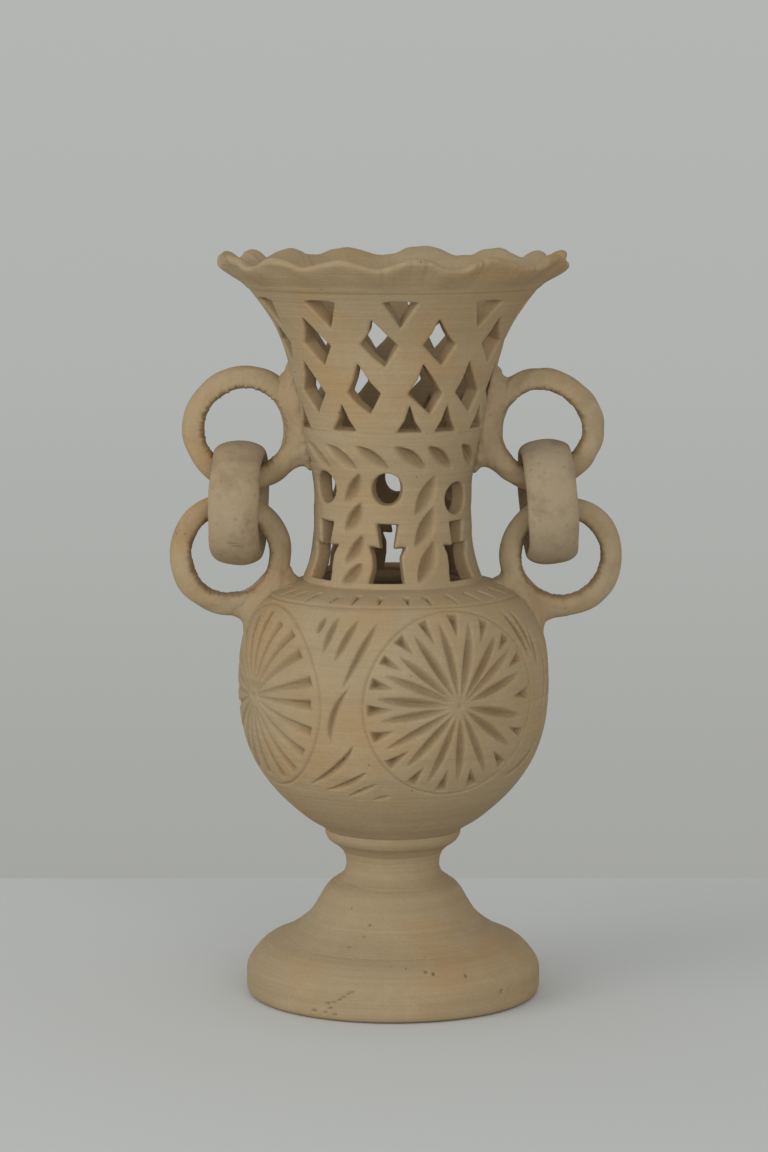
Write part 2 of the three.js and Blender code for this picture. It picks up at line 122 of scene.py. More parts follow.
def make_object(name, points, faces, material, node, body, target=None, cut=None):
    """A smooth-shaded piece of four-sided faces that stands for a CAD node, thinned to about target
    triangles. cut is the shade painted on each point from lying in a cut or hollow, from 0 to 1, for
    the material."""
    mesh = bpy.data.meshes.new(name)
    first, second, third, fourth = (points[column] for column in faces.T)
    faces_in = np.einsum("ij,ij", first + third, np.cross(second - fourth, first - third)) > 0
    if faces_in:
        faces = faces[:, ::-1]
    points = np.ascontiguousarray(points * MM, dtype=np.float32)
    faces = np.ascontiguousarray(faces, dtype=np.int32)
    mesh.vertices.add(len(points))
    mesh.vertices.foreach_set("co", points.ravel())
    mesh.loops.add(faces.size)
    mesh.loops.foreach_set("vertex_index", faces.ravel())
    mesh.polygons.add(len(faces))
    mesh.polygons.foreach_set("loop_start", np.arange(0, faces.size, 4, dtype=np.int32))
    mesh.polygons.foreach_set("loop_total", np.full(len(faces), 4, dtype=np.int32))
    mesh.update(calc_edges=True)
    mesh.validate()
    mesh.shade_smooth()
    # cut is stored as painted shade for the material to darken
    if cut is not None:
        attribute = mesh.attributes.new("cut", "FLOAT", "POINT")
        attribute.data.foreach_set("value", cut.astype(np.float32).ravel())
    mesh.materials.append(material)
    piece = bpy.data.objects.new(name, mesh)
    bpy.context.scene.collection.objects.link(piece)
    triangles = 2 * len(faces)
    if target and triangles > target:
        thin = piece.modifiers.new("thin", "DECIMATE")
        thin.ratio = target / triangles
    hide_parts(node)
    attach(piece, body)


# ---------------------------------------------------------------- turned surfaces and knife cuts

class Surface:
    """The outside of one turned section: a grid of angle by distance along the outline, with the depth
    of the cuts and the shade painted into them at each point."""

    def __init__(self, outline, step, around):
        curve = smooth(outline, step)
        self.z, self.r = curve.T
        self.arc = np.r_[0, np.cumsum(np.hypot(np.diff(self.z), np.diff(self.r)))]
        tangent = np.gradient(curve, axis=0)
        tangent /= np.hypot(*tangent.T)[:, None]
        self.normal_r, self.normal_z = tangent[:, 0], -tangent[:, 1]
        self.angle = circle(around)
        self.depth = np.zeros((around, len(self.z)))
        self.painted_shade = np.zeros_like(self.depth)

    def across(self, degrees):
        """Distance round the surface from a direction, as a grid."""
        return self.r[None, :] * wrap(self.angle - math.radians(degrees))[:, None]

    def along(self, z):
        """Distance up the outline from a height, as a row."""
        return (self.arc - np.interp(z, self.z, self.arc))[None, :]

    def deepen(self, depth, dark=0.0):
        """Cuts to at least a depth, given all over the grid, and paints shade into the cut, up to dark,
        darker where the cut is deeper.
        """
        self.depth = np.maximum(self.depth, depth)
        self.painted_shade = np.maximum(self.painted_shade, dark * np.clip(depth / FULL_DARK, 0, 1) ** 1.5)

    def cut(self, places, half_width, slope=0.75, stop=False, skew=0.0, dark=0.0):
        """A straight knife cut through two places or a curved one through three, each (degrees, z).
        half_width(share) is its width either side of its line at a share of its length."""
        start, heights = places[0], [z for _, z in places]
        u, v = self.across(start[0]), self.along(start[1])
        at_r = np.interp(heights, self.z, self.r)
        at_v = np.interp(heights, self.z, self.arc)
        path = [(r * math.radians(a - start[0]), s - at_v[0])
                for (a, _), r, s in zip(places, at_r, at_v)]
        if len(path) == 3:
            first, middle, last = np.array(path)
            t = np.linspace(0, 1, 7)[:, None]
            control = 2 * middle - (first + last) / 2
            path = list((1 - t)**2 * first + 2 * t * (1 - t) * control + t**2 * last)
        count = len(path) - 1
        for i in range(count):
            self.deepen(groove(u, v, path[i], path[i + 1],
                               lambda share: half_width((i + share) / count),
                               slope, stop and i == count - 1, skew), dark)

    def plane(self, degrees, z):
        """Flat coordinates facing a direction, and which part of the grid faces it."""
        turn = self.angle - math.radians(degrees)
        u = self.r[None, :] * np.sin(turn)[:, None]
        v = np.broadcast_to((self.z - z)[None, :], u.shape)
        return u, v, np.broadcast_to((np.cos(turn) > 0.2)[:, None], u.shape)

    def turning_lines(self, seed, height=0.05, spacing=2.2):
        """Faint ridges left by the turning, as height to take off the surface."""
        waves = np.random.default_rng(seed)
        lines = np.zeros_like(self.depth)
        for _ in range(5):
            wavelength = spacing * waves.uniform(0.5, 1.8)
            tilt = waves.uniform(0, ABOUT_A_TURN)
            tilt = tilt + 0.8 * np.cos(self.angle + waves.uniform(0, ABOUT_A_TURN))
            lines += np.sin(self.arc[None, :] * 2 * math.pi / wavelength + tilt[:, None]) / 5
        return height * lines


def groove(u, v, start, end, half_width, slope, stop=False, skew=0.0):
    """The depth of a V-shaped cut between two points, negative off it. stop gives it a steep wall at
    its end, and a positive skew makes its wall on the right of the way it runs steeper and the other
    one gentler."""
    dx, dy = end[0] - start[0], end[1] - start[1]
    length = math.hypot(dx, dy)
    along = ((u - start[0]) * dx + (v - start[1]) * dy) / length
    beside = ((v - start[1]) * dx - (u - start[0]) * dy) / length
    beyond = np.maximum(np.maximum(-along, along - length), 0)
    half = half_width(np.clip(along / length, 0, 1)) - beyond
    left = slope * (1 - 0.5 * skew if skew > 0 else 1 - 2 * skew)
    right = slope * (1 + 2 * skew if skew > 0 else 1 + 0.5 * skew)
    depth = np.minimum(left * (half - beside), right * (half + beside))
    if stop:
        depth = np.minimum(depth, 3 * (length - along))
    return depth


def leaf(width, power=0.7, shift=1.0):
    """Half widths of a cut pointed at both ends. shift over 1 puts the widest place past the middle."""
    return lambda share: 0.5 * width * np.sin(math.pi * np.clip(share, 0, 1) ** shift) ** power


def wedge(width, tail=0.0):
    """Half widths of a cut that widens to its end."""
    return lambda share: 0.5 * (tail + (width - tail) * share)


def scribed(distance):
    """The depth of a thin scribed line, by the distance from its middle."""
    return 1.2 * (0.6 - np.abs(distance))


def turned_piece(surface, inside, wobble, seed):
    """Points, faces and painted shade of a turned solid: its carved outside, closed by an inner outline
    of (z, r). wobble is about how far its outside is from round."""
    angle = surface.angle[:, None]
    off = surface.depth - wobble * ripple(surface.angle, seed)[:, None]
    outer_r = surface.r[None, :] - off * surface.normal_r[None, :]
    outer_z = surface.z[None, :] - off * surface.normal_z[None, :]
    inner = np.asarray(inside, float)
    inner_r = np.broadcast_to(inner[:, 1], (len(surface.angle), len(inner)))
    inner_z = np.broadcast_to(inner[:, 0], inner_r.shape)
    r = np.hstack([outer_r, inner_r])
    z = np.hstack([outer_z, inner_z])
    # Painted shade: cuts deeper than deep_from darken, and the unseen inside gets INSIDE_SHADE.
    deep_from, deep_over = 1.2, 1.6
    deep = np.clip((surface.depth - deep_from) / deep_over, 0, 1)
    shade = np.maximum(deep, surface.painted_shade)
    cut = np.hstack([shade, np.full(inner_r.shape, INSIDE_SHADE)])
    return *closed_grid(r * np.sin(angle), -r * np.cos(angle), z), cut


def closed_grid(x, y, z):
    """Points and faces of a surface whose rows and columns both join round."""
    rows, columns = x.shape
    index = np.arange(rows * columns).reshape(rows, columns)
    right = np.roll(index, -1, 1)
    faces = np.stack([index, np.roll(index, -1, 0), np.roll(right, -1, 0), right], -1).reshape(-1, 4)
    return np.stack([x, y, z], -1).reshape(-1, 3), faces


# ---------------------------------------------------------------- surfaces from solid fields

def net(field, periodic):
    """Points, in grid steps, and faces where a field changes sign, negative inside. periodic joins
    the first axis round."""
    if periodic:
        field = np.concatenate([field, field[:1]], 0)
    inside = field < 0
    cells = tuple(n - 1 for n in field.shape)
    total = np.zeros(cells + (3,))
    count = np.zeros(cells)
    corner = [slice(0, -1), slice(1, None)]
    for axis in range(3):
        others = [k for k in range(3) if k != axis]
        for p in (0, 1):
            for q in (0, 1):
                pick_a, pick_b = [None] * 3, [None] * 3
                pick_a[axis], pick_b[axis] = corner[0], corner[1]
                pick_a[others[0]] = pick_b[others[0]] = corner[p]
                pick_a[others[1]] = pick_b[others[1]] = corner[q]
                a, b = field[tuple(pick_a)], field[tuple(pick_b)]
                crosses = (a < 0) != (b < 0)
                share = np.where(crosses, a / np.where(crosses, a - b, 1), 0)
                total[..., axis] += share
                total[..., others[0]] += p * crosses
                total[..., others[1]] += q * crosses
                count += crosses
    used = count > 0
    number = np.full(cells, -1)
    number[used] = np.arange(used.sum())
    where = np.stack(np.nonzero(used), -1)
    points = where + total[used] / count[used][:, None]
    faces = []
    for axis in range(3):
        b, c = [(1, 2), (2, 0), (0, 1)][axis]
        low = [slice(None)] * 3
        high = [slice(None)] * 3
        low[axis], high[axis] = corner
        change = inside[tuple(low)].astype(int) - inside[tuple(high)].astype(int)
        joins = periodic and 0 in (b, c)
        trim = [slice(None)] * 3
        for k in (b, c):
            trim[k] = slice(0, -1) if (joins and k == 0) else slice(1, -1)
        at = np.stack(np.nonzero(change[tuple(trim)]), -1)
        for k in (b, c):
            at[:, k] += 0 if (joins and k == 0) else 1
        sign = change[tuple(at.T)]
        corners = []
        for step_b, step_c in ((-1, -1), (0, -1), (0, 0), (-1, 0)):
            cell = at.copy()
            cell[:, b] += step_b
            cell[:, c] += step_c
            if periodic:
                cell[:, 0] %= cells[0]
            corners.append(number[tuple(cell.T)])
        quad = np.stack(corners, -1)
        quad[sign < 0] = quad[sign < 0][:, ::-1]
        faces.append(quad)
    return points, np.vstack(faces)


def polygon_distance(u, v, outline):
    """Signed distance to a closed flat outline, negative inside."""
    best = np.full(np.broadcast(u, v).shape, 1e9)
    inside = np.zeros(best.shape, bool)
    ends = outline[1:] + outline[:1]
    for (ax, ay), (bx, by) in zip(outline, ends):
        ex, ey = bx - ax, by - ay
        t = np.clip(((u - ax) * ex + (v - ay) * ey) / (ex * ex + ey * ey), 0, 1)
        best = np.minimum(best, np.hypot(u - ax - t * ex, v - ay - t * ey))
        if ey:
            inside ^= ((ay > v) != (by > v)) & (u < ax + (v - ay) * ex / ey)
    return np.where(inside, -best, best)


def pierced_piece(surface, holes, step, lines):
    """Points, faces and painted shade of a carved wall with holes pushed through it. holes is the
    distance to the nearest hole, negative in it, and lines is the height of the turning lines."""
    margin = 2
    edge_round, narrowing = 0.8, 0.1
    layers = np.arange(-margin - 1, int(WALL / step) + margin + 2) * step
    rows = np.arange(-margin, len(surface.arc) + margin)
    s = rows * surface.arc[1]
    row = np.clip(rows, 0, len(surface.arc) - 1)
    carved = (surface.depth + lines)[:, row, None]
    n = layers[None, None, :]
    wall = np.maximum(carved - n, n - WALL + 0.4 * lines[:, row, None])
    field = smooth_max(wall, -(holes[:, row, None] + narrowing * n), edge_round)
    field = np.maximum(field, np.maximum(-s, s - surface.arc[-1])[None, :, None])
    points, faces = net(field, True)
    turn = points[:, 0] * 2 * math.pi / len(surface.angle)
    at = points[:, 1] - margin
    depth = (points[:, 2] - margin - 1) * step
    grid = np.arange(len(surface.arc))
    radius = np.interp(at, grid, surface.r) - depth * np.interp(at, grid, surface.normal_r)
    height = np.interp(at, grid, surface.z) - depth * np.interp(at, grid, surface.normal_z)
    # Painted shade: points deeper in the wall, down cuts and hole walls, are darkened.
    shade_from, shade_over, darkest = 0.35, 2.0, 0.65
    cut = np.clip((depth - shade_from) / shade_over, 0, darkest)
    return np.stack([radius * np.sin(turn), -radius * np.cos(turn), height], -1), faces, cut


# ---------------------------------------------------------------- materials

def clay(name, colour, speck=0.5, lines=1.0, patch=1.0, smear=0.0, grime=0.0):
    """Dry matt clay. The other arguments are how strong its specks, turning lines, colour patches,
    lumps and stains are."""
    material = bpy.data.materials.new(name)
    material.use_nodes = True
    nodes, links = material.node_tree.nodes, material.node_tree.links
    shader = nodes["Principled BSDF"]
    shader.inputs["Specular IOR Level"].default_value = 0.25
    place = nodes.new("ShaderNodeTexCoord").outputs["Object"]

    def noise(scale, detail, stretch=(1, 1, 1), roughness=0.55):
        mapping = nodes.new("ShaderNodeMapping")
        mapping.inputs["Scale"].default_value = stretch
        links.new(place, mapping.inputs["Vector"])
        texture = nodes.new("ShaderNodeTexNoise")
        texture.inputs["Scale"].default_value = scale
        texture.inputs["Detail"].default_value = detail
        texture.inputs["Roughness"].default_value = roughness
        links.new(mapping.outputs["Vector"], texture.inputs["Vector"])
        return texture.outputs["Fac"]

    def spread(value, low, high, out_low, out_high):
        node = nodes.new("ShaderNodeMapRange")
        node.inputs["From Min"].default_value = low
        node.inputs["From Max"].default_value = high
        node.inputs["To Min"].default_value = out_low
        node.inputs["To Max"].default_value = out_high
        links.new(value, node.inputs["Value"])
        return node.outputs["Result"]

    def blend(share, first, second):
        node = nodes.new("ShaderNodeMix")
        node.data_type = "RGBA"
        for key, value in (("Factor", share), ("A", first), ("B", second)):
            socket = next(i for i in node.inputs if i.name == key and i.enabled)
            if isinstance(value, bpy.types.NodeSocket):
                links.new(value, socket)
            else:
                socket.default_value = (*value, 1)
        return next(o for o in node.outputs if o.enabled)

    def tint(*factors):
        return tuple(np.array(colour) * factors)

    pale = tint(1.13, 1.16, 1.22)
    broad = spread(noise(19, 3), 0.45, 0.66, 0, 0.95 * patch)
    mottle = spread(noise(60, 6, roughness=0.65), 0.46, 0.68, 0, 0.75 * patch)
    result = blend(broad, colour, tint(1.1, 0.93, 0.76))
    result = blend(mottle, result, pale)
    band = spread(noise(9, 4, (1, 1, 34)), 0.45, 0.72, 0, 0.5 * lines)
    result = blend(band, result, tint(0.87, 0.84, 0.8))
    fine_band = spread(noise(14, 3, (1, 1, 90)), 0.5, 0.75, 0, 0.4 * lines)
    result = blend(fine_band, result, pale)
    if lines:
        brush = spread(noise(20, 3, (1, 1, 130)), 0.52, 0.72, 0, 0.5 * lines)
        result = blend(brush, result, tint(1.2, 1.22, 1.26))
    if grime:
        dirt = spread(noise(75, 7, roughness=0.7), 0.48, 0.66, 0, grime)
        result = blend(dirt, result, tint(0.66, 0.66, 0.66))
    grain = spread(noise(1100, 3), 0.35, 0.72, 0, 0.35)
    result = blend(grain, result, tint(0.8, 0.78, 0.74))
    specks = nodes.new("ShaderNodeTexVoronoi")
    specks.inputs["Scale"].default_value = 150
    specks.inputs["Randomness"].default_value = 1
    links.new(place, specks.inputs["Vector"])
    near = spread(specks.outputs["Distance"], 0.03, 0.085, 1, 0)
    few = spread(noise(45, 1), 0.5, 0.56, 0, speck)
    both = nodes.new("ShaderNodeMath")
    both.operation = "MULTIPLY"
    links.new(near, both.inputs[0])
    links.new(few, both.inputs[1])
    result = blend(both.outputs[0], result, tint(0.45, 0.38, 0.3))
    # Painted shade: the cut attribute darkens the colour in cuts, hollows and hidden insides.
    cut = nodes.new("ShaderNodeAttribute")
    cut.attribute_name = "cut"
    result = blend(spread(cut.outputs["Fac"], 0.05, 1, 0, 0.75), result, tint(0.62, 0.52, 0.42))
    links.new(result, shader.inputs["Base Color"])

    roughness = spread(noise(40, 3), 0.3, 0.7, 0.82, 0.97)
    links.new(roughness, shader.inputs["Roughness"])

    def bump(value, distance, strength, under=None):
        node = nodes.new("ShaderNodeBump")
        node.inputs["Distance"].default_value = distance
        node.inputs["Strength"].default_value = strength
        links.new(value, node.inputs["Height"])
        if under is not None:
            links.new(under, node.inputs["Normal"])
        return node.outputs["Normal"]

    normal = bump(noise(14, 2, (1, 1, 60)), 0.0006, 0.35 * lines + 0.02)
    if lines:
        normal = bump(noise(16, 3, (1, 1, 190)), 0.00022, 0.5 * lines, normal)
    normal = bump(noise(620, 3), 0.0003, 0.55, normal)
    normal = bump(noise(90 if smear else 120, 4), 0.0009, 0.22 + smear, normal)
    links.new(normal, shader.inputs["Normal"])
    return material


BODY = clay("body_clay", (0.355, 0.272, 0.16), lines=0.9, speck=0.85)
COIL = clay("coil_clay", (0.365, 0.28, 0.168), lines=0.0, speck=0.7, grime=0.45)
LUTING = clay("luting_clay", (0.355, 0.268, 0.162), lines=0.0, smear=0.3, grime=0.35)
LINK = clay("link_clay", (0.355, 0.284, 0.186), lines=0.0, speck=0.5, patch=0.7, grime=0.75)


# ---------------------------------------------------------------- foot and stem

# Outlines are (z, radius) from the bottom up.
FOOT = [(0, 57.4), (0.9, 58.7), (2.2, 59.3), (6, 59.5), (11.5, 59.2), (16, 56.5), (20, 52.6),
        (23.5, 45.3), (27.8, 38.6), (32.3, 33.6), (37.5, 30.3), (42.2, 27.5), (44.2, 25.8),
        (45.4, 24.0), (46.2, 22.3)]
FOOT_INSIDE = [(35, 14), (28, 28), (22, 41), (15, 48.5), (6.9, 51.8), (0, 53.2)]
STEM = [(44.6, 24.3), (45.5, 23.7), (46.9, 21.7), (48.2, 20.3), (49.8, 19.3), (53.3, 18.8),
        (57.5, 20), (60.2, 22.4), (63, 26.2), (65.8, 27.4), (67.2, 27.3)]
# A row of dark nicks, as (degrees, z, rise), and a few round pits.
FOOT_NICKS = ((-27, 6.8, 0.6), (-24.5, 7.4, 0.4), (-22, 8.4, 1.2), (-20.5, 9.8, 0.8), (-18.5, 11, 1.4),
              (-17.5, 12.2, 0.5), (-26, 5.2, 0.2), (-33, 3.4, 0.1), (-28, 3.2, 0.1), (-24, 2.8, -0.2),
              (-18, 34, -0.6), (-20, 29.5, 0.5), (-26, 26, 0.4))
FOOT_PITS = ((31, 17), (14, 19.6), (17, 18.8), (46, 9))


def foot():
    surface = Surface(FOOT, 0.62, 560)
    for a, z, rise in FOOT_NICKS:
        surface.cut(((a, z), (a + 2.4, z + rise)), leaf(1.3), 2.0, dark=1.0)
    for a, z in FOOT_PITS:
        u, v = surface.across(a), surface.along(z)
        surface.deepen(2.4 * (0.9 - np.hypot(u, v)), 1.0)
    for _ in range(26):
        a, z = random.uniform(-180, 180), random.uniform(3, 40)
        surface.cut(((a, z), (a + random.uniform(-4, 4), z + random.uniform(-1, 1))), leaf(0.8), 0.6)
    # Painted contact shadow: the foot's bottom millimetre is darkened where it meets the floor.
    painted_contact_shadow = np.clip((1.0 - surface.z) / 0.7, 0, 1)[None, :]
    surface.painted_shade = np.maximum(surface.painted_shade, painted_contact_shadow)
    surface.depth += surface.turning_lines(3, 0.08, 2.6)
    inside = np.vstack([[surface.z[-1], AXIS_R], [35, AXIS_R], smooth(FOOT_INSIDE, 3)])
    points, faces, cut = turned_piece(surface, inside, 0.12, 5)
    make_object("foot_bell", points, faces, BODY, "pedestal_foot", "vase", cut=cut)


def stem():
    surface = Surface(STEM, 0.6, 240)
    surface.depth += surface.turning_lines(4, 0.1, 2.0)
    points, faces, _ = turned_piece(surface, [(67.2, AXIS_R), (44.6, AXIS_R)], 0.1, 6)
    make_object("stem_turning", points, faces, BODY, "stem_spool", "vase")


# ---------------------------------------------------------------- globe

GLOBE = [(67.2, 27.3), (68.2, 28.6), (71.8, 34.4), (76.3, 40), (85.9, 49.5), (96.6, 56.5),
         (108.7, 60.7), (118, 62.1), (126, 62.5), (133, 62.3), (140.1, 61.7), (150.3, 59.1),
         (158.4, 54.7), (163.9, 49.5), (167, 42.1), (168.8, 35)]
GLOBE_INSIDE = [(162.5, 30), (162.5, 42), (158, 47.5), (150, 52.6), (140, 55.5), (126, 56.5),
                (109, 54.7), (97, 50.5), (86, 43), (78, 33), (76.2, 22)]
# The front wheel's place, and its rays as they are seen from the front.
FRONT_WHEEL = 24.5
FRONT_RAYS = (9, 28, 46, 64, 83, 101, 123, 143, 163, 184, 205, 231, 256, 291, 311, 327, 348)
SHOULDER_LINE_Z = 163.2
# Slashes between the wheels, each through two or three (degrees, z).
FRONT_SLASHES = (
    ((-29, 160), (-31, 153)), ((-23, 160.5), (-27, 146)), ((-14, 159.5), (-22, 143)),
    ((-6, 158.5), (-12, 147), (-19, 132)), ((-15.5, 134), (-22, 122), (-23.5, 110)),
    ((-14.5, 111), (-22, 101), (-37, 92.5)), ((-10, 100), (-19, 94), (-30, 90.5)),
    ((-6, 95), (-20, 88.5)), ((-1, 89.5), (-9, 87.5)))
RIGHT_SLASHES = (
    ((52, 160), (57, 151), (61, 141)), ((58, 160), (64, 142)), ((65, 152), (67, 136)),
    ((71, 149), (75, 131), (69, 116)), ((72, 107), (64, 99), (52, 93.5)), ((78, 104), (70, 94)))


def rosette(surface, degrees, z, radius, rays, notches):
    """A carved wheel in a thin circle. Rays are angles anticlockwise from straight up. With notches
    they are leaves with a wedge between each two, and without they widen to a blunt end."""
    u, v, facing = surface.plane(degrees, z)
    rho = np.hypot(u, v)
    border = scribed(rho - radius)
    # Painted shade: the circle is darkened here, and the wheel's cuts where they are added below.
    surface.deepen(np.where(facing, border, 0), 0.9)
    depth = np.maximum(border, 0.5 * (1.6 - rho))

    def stroke(turn, start, end, half_width, slope, stop, skew):
        rim_at = np.array([-math.sin(turn), math.cos(turn)]) * radius
        cut = groove(u, v, rim_at * start, rim_at * end, half_width, slope, stop, skew)
        return np.maximum(depth, cut)

    rays = np.radians(np.sort(np.asarray(rays, float)))
    spans = np.diff(np.r_[rays, rays[0] + 2 * math.pi])
    for turn, span in zip(rays, spans):
        if notches:
            start, end = random.uniform(0.07, 0.12), random.uniform(0.84, 0.9)
            width = random.uniform(3.9, 4.7)
            depth = stroke(turn, start, end, leaf(width, 0.65, 1.15), 1.2, False,
                           random.uniform(-0.35, 0.35))
            between = turn + span * random.uniform(0.46, 0.54)
            start, width = random.uniform(0.68, 0.75), random.uniform(4.4, 5.6)
            depth = stroke(between, start, 0.965, wedge(width), 1.6, True, random.uniform(-0.3, 0.3))
        else:
            start, end = random.uniform(0.1, 0.16), random.uniform(0.88, 0.95)
            depth = stroke(turn, start, end, lambda share: 0.7 + 1.9 * share**1.6, 1.1, True,
                           random.uniform(-0.3, 0.1))
    surface.deepen(np.where(facing, depth, 0), 0.4)


def shoulder_ticks(surface):
    """Short wedges cut round the shoulder, between the neck and a thin line, both darkened with painted
    shade.
    """
    count = 31
    for i in range(count):
        a = -180 + (i + random.uniform(-0.12, 0.12)) * 360 / count
        lean = 3.2 * np.sign(a) * min(abs(a) / 40, 1) * (1 if abs(a) < 90 else 0.3)
        low, high = random.uniform(163.9, 164.5), random.uniform(166.3, 167.1)
        surface.cut(((a + lean, low), (a, high)), wedge(random.uniform(2.2, 3.2), 0.7), 2.0, True,
                    dark=0.75)
    surface.deepen(scribed(surface.along(SHOULDER_LINE_Z)), 1.0)


def globe():
    surface = Surface(GLOBE, 0.48, 760)
    foreshortening = math.cos(math.radians(FRONT_WHEEL))
    seen = [math.radians(a) for a in FRONT_RAYS]
    rays = [math.degrees(math.atan2(math.sin(a) / foreshortening, math.cos(a))) for a in seen]
    rosette(surface, FRONT_WHEEL, 125.8, 36.3, rays, True)
    for degrees, z, radius, spacing, count, notches in (
            (-62.5, 125.6, 36.0, 18, 20, False), (114, 125.8, 36.0, 20, 18, True),
            (-152, 126, 36.2, 18.9, 19, True)):
        rays = [i * spacing + random.uniform(-2.5, 2.5) for i in range(count)]
        rosette(surface, degrees, z, radius, rays, notches)
    for places in FRONT_SLASHES + RIGHT_SLASHES:
        width = 2.2 if places[0][1] < 96 else random.uniform(3.1, 3.7)
        # Painted shade in the slashes, strongest in those on the right.
        slope, dark = (2.0, 1.0) if places in RIGHT_SLASHES else (1.3, 0.55)
        surface.cut(places, leaf(width, 0.7), slope, skew=0.6, dark=dark)
    # The copies round the back and left get weaker painted shade.
    for turn in (180, -88):
        for places in FRONT_SLASHES:
            moved = [(a + turn + random.uniform(-1, 1), z + random.uniform(-1, 1)) for a, z in places]
            surface.cut(moved, leaf(random.uniform(2.6, 3.5), 0.7), 1.3, skew=0.6, dark=0.35)
    shoulder_ticks(surface)
    surface.depth += surface.turning_lines(8, 0.03, 2.0)
    inside = np.vstack([[168.6, 30], smooth(GLOBE_INSIDE, 2.2), [76.2, AXIS_R], [67.2, AXIS_R]])
    points, faces, cut = turned_piece(surface, inside, 0.15, 9)
    make_object("globe_carved", points, faces, BODY, "globe_body", "vase",
                CARVED_TRIANGLES, cut)


# ---------------------------------------------------------------- neck

NECK = [(168.2, 36.4), (174.6, 34.1), (181.9, 32.4), (191.6, 31.7), (200, 31.6), (208.6, 31.9),
        (215.9, 33.2), (221.9, 35), (228.6, 36.45), (230.4, 36.75)]
NECK_LEFT = 0.25  # how far the neck stands to the left of the turning axis
# Each column has a round hole, at (degrees, z), over a keyhole.
NECK_COLUMNS = ((-120.5, 206), (-57, 207.3), (-4, 207.6), (53, 203), (116, 205), (175.5, 207))
ROUND_HOLE_RADIUS = 6.45
KEYHOLE_Z = 171.1
KEYHOLE = [(7.6, 0), (5.9, 6.5), (6.2, 10.5), (7.8, 14.6), (3.2, 14.4), (4.6, 23.2), (-4.4, 23.6),
           (-3.0, 14.2), (-7.8, 14.3), (-6.0, 10.5), (-5.9, 6.5), (-7.6, 0)]


def neck():
    step = 0.55
    surface = Surface(NECK, step, 372)
    holes = np.full(surface.depth.shape, NO_HOLE)
    for degrees, z in NECK_COLUMNS:
        u, v = surface.across(degrees), surface.along(z)
        holes = np.minimum(holes, np.hypot(u * random.uniform(0.97, 1.05), v) - ROUND_HOLE_RADIUS)
        jitter = [(x + random.uniform(-0.35, 0.35), y + random.uniform(-0.35, 0.35))
                  for x, y in KEYHOLE]
        u, v = surface.across(degrees), surface.along(KEYHOLE_Z)
        holes = np.minimum(holes, polygon_distance(u, v, jitter))
        for side in (-1, 1):
            y = 14.4 + random.uniform(-0.3, 0.3)
            end = (side * 10.2, y + random.uniform(-0.5, 0.5))
            surface.deepen(groove(u, v, (side * 2, y), end, leaf(1.2), 0.9))
    gaps = list(zip(NECK_COLUMNS, NECK_COLUMNS[1:] + ((NECK_COLUMNS[0][0] + 360, 206),)))
    for i, ((left, _), (right, _)) in enumerate(gaps):
        middle = (left + right) / 2
        if i % 2:
            tops, drop, width = (214, 202.5, 190, 179), 12.5, 6.0
        else:
            tops, drop, width = (213, 200.5, 187), 16, 7.2
        for top in tops:
            low = max(top - drop, 169.8)
            a = middle + random.uniform(-1.5, 1.5)
            surface.cut(((a + 8, top), (a + 2, (top + low) / 2 - 0.6), (a - 7, low)),
                        leaf(width * random.uniform(0.93, 1.07), 0.8), 1.1, skew=0.7)
    slashes = 15
    for i in range(slashes):
        a = -13 + i * 360 / slashes + random.uniform(-2, 2)
        surface.cut(((a - 11, 224.6), (a, 220), (a + 12, 214.8)),
                    leaf(random.uniform(5.6, 6.4), 0.8), 1.25, skew=-0.6)
    points, faces, cut = pierced_piece(surface, holes, step, surface.turning_lines(10, 0.04, 2.0))
    points[:, 0] -= NECK_LEFT
    make_object("neck_pierced", points, faces, BODY, "neck_tube", "vase",
                CARVED_TRIANGLES, cut)


# ---------------------------------------------------------------- flare

FLARE = [(229.2, 36.6), (232, 37.1), (240.7, 38.6), (252.1, 41), (262.4, 43.9), (270.5, 47.3),
         (277.9, 52), (286.5, 58.6)]
# Where the holes of each row are, in degrees.
ROW_TOP = (-69, -31.8, 2.3, 43, 79, 108, 138, 170, 204, 236, 264)
ROW_UPPER = (-74, -43, -8, 24.5, 60, 91, 121, 152, 188, 222, 254)
ROW_LOWER = (-88, -54, -16.6, 18.6, 49, 78, 107, 137, 170, 205, 239)
ROW_FOOT = (-102, -70, -31, 10, 34, 64, 93, 122, 154, 188, 222)
# The rows' holes: their places, the height of their outline's origin, and the outline.
FLARE_ROWS = (
    (ROW_TOP, 281.2, [(0.6, -12.2), (7.2, 0.2), (2, 0.9), (-3, 0.8), (-6.8, 0)]),
    (ROW_UPPER, 264.8, [(1.8, -8.8), (7.4, -0.4), (3.2, 4.2), (-2.6, 11.4), (-4.0, 5.2), (-7.3, -0.2),
                        (-2.2, -5)]),
    (ROW_LOWER, 245.9, [(1.8, -8.6), (7.2, -0.4), (3.2, 4.6), (-2.4, 12.2), (-4.0, 5.4), (-7.2, -0.2),
                        (-2.4, -5)]),
    (ROW_FOOT, 230.4, [(-5.6, 0), (5.4, 0.1), (2.2, 4.6), (-0.6, 10.8), (-2.6, 5)]))


def flare():
    step = 0.6
    surface = Surface(FLARE, step, 560)
    holes = np.full(surface.depth.shape, NO_HOLE)
    for angles, z, outline in FLARE_ROWS:
        v = surface.along(z)
        for degrees in angles:
            jitter = [(x + random.uniform(-0.45, 0.45), y + random.uniform(-0.4, 0.4))
                      for x, y in outline]
            u = surface.across(degrees + random.uniform(-0.8, 0.8))
            holes = np.minimum(holes, polygon_distance(u, v, jitter))
    points, faces, cut = pierced_piece(surface, holes, step, surface.turning_lines(12, 0.08, 1.6))
    make_object("flare_pierced", points, faces, BODY, "lattice_flare", "vase",
                CARVED_TRIANGLES, cut)


# ---------------------------------------------------------------- rim

